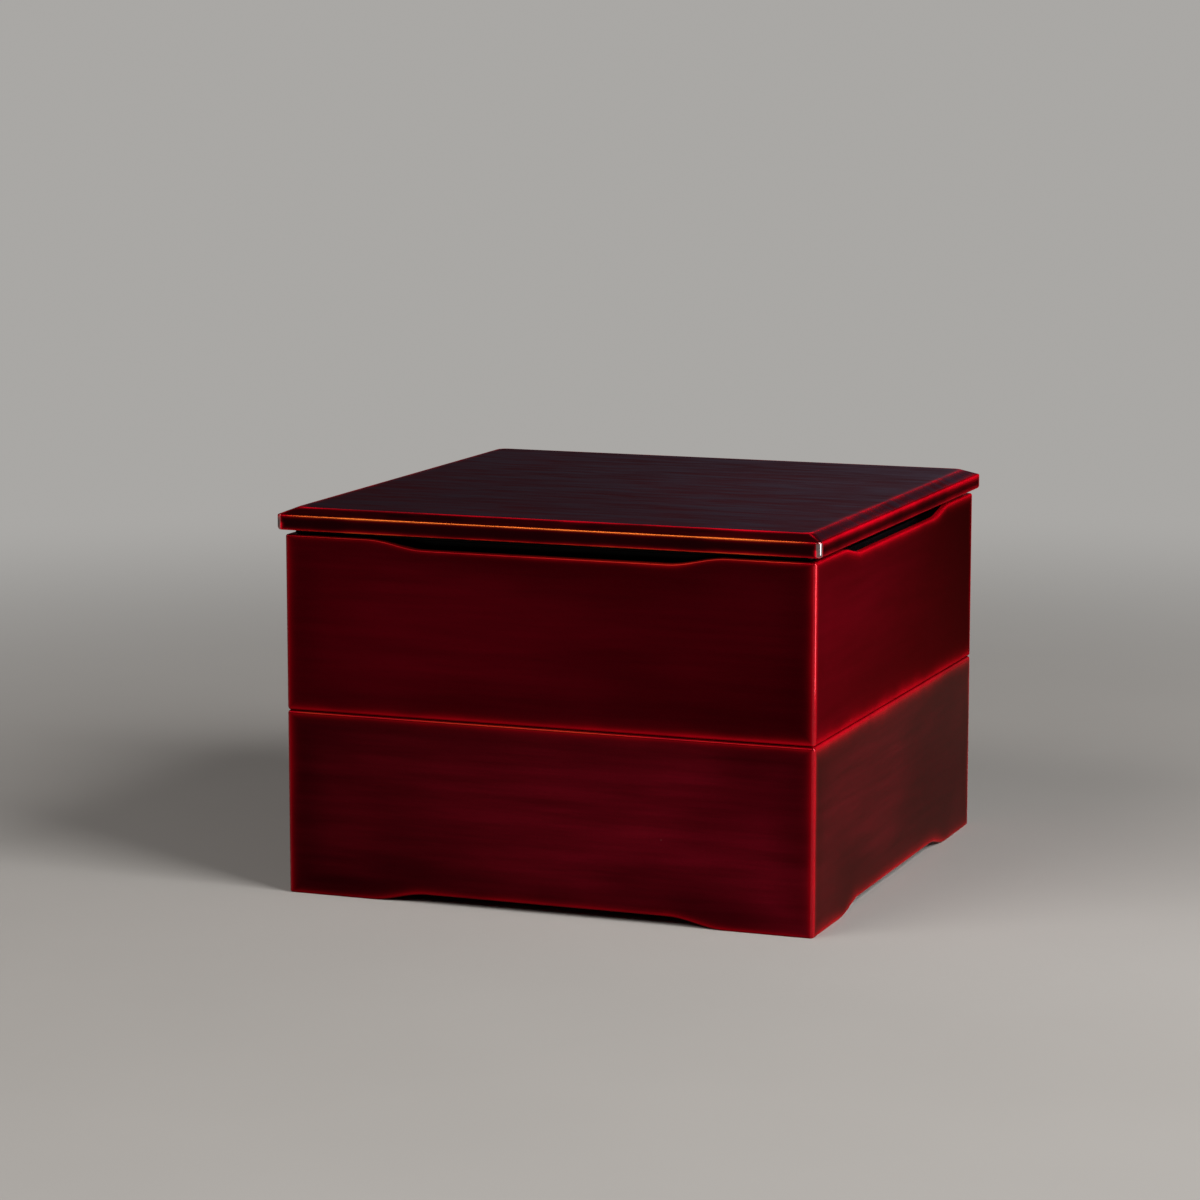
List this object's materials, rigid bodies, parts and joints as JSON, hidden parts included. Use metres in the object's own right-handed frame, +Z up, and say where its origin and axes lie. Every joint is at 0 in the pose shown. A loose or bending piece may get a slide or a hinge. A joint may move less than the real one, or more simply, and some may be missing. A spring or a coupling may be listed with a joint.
{
  "type": "stacking lacquer jubako box",
  "caption": "Square stacking food box in glossy translucent red lacquer, with a bevelled lift-off lid and scalloped edges.",
  "frame": {"origin": "on the floor, under the middle of the box", "axes": "+Z up; the front of the box faces -Y and +X is to its right"},
  "size_m": [0.1996, 0.1996, 0.1377],
  "materials": {
    "red_lacquer": "high-gloss translucent red lacquer, thinner and brighter along the edges",
    "black_lacquer": "satin black lacquer on the inside and underneath",
    "bare_wood": "bare sawn wood, hidden in the mitres"
  },
  "bodies": {
    "lower_tier": {"lower_wall_front": "red_lacquer", "lower_wall_right": "red_lacquer", "lower_wall_back": "red_lacquer", "lower_wall_left": "red_lacquer", "lower_spline_front_right": "bare_wood", "lower_spline_back_right": "bare_wood", "lower_spline_back_left": "bare_wood", "lower_spline_front_left": "bare_wood", "lower_base": "black_lacquer"},
    "upper_tier": {"upper_wall_front": "red_lacquer", "upper_wall_right": "red_lacquer", "upper_wall_back": "red_lacquer", "upper_wall_left": "red_lacquer", "upper_spline_front_right": "bare_wood", "upper_spline_back_right": "bare_wood", "upper_spline_back_left": "bare_wood", "upper_spline_front_left": "bare_wood", "upper_base": "black_lacquer", "upper_strip_front": "black_lacquer", "upper_strip_right": "black_lacquer", "upper_strip_back": "black_lacquer", "upper_strip_left": "black_lacquer"},
    "lid": {"lid_panel": "red_lacquer", "lid_batten_front": "black_lacquer", "lid_batten_right": "black_lacquer", "lid_batten_back": "black_lacquer", "lid_batten_left": "black_lacquer"}
  },
  "joints": [
    {"name": "upper_tier_lift", "type": "slide", "parent": "lower_tier", "child": "upper_tier", "axis": [0, 0, 1], "range_m": [0, 0.12]},
    {"name": "lid_lift", "type": "slide", "parent": "upper_tier", "child": "lid", "axis": [0, 0, 1], "range_m": [0, 0.12]}
  ]
}
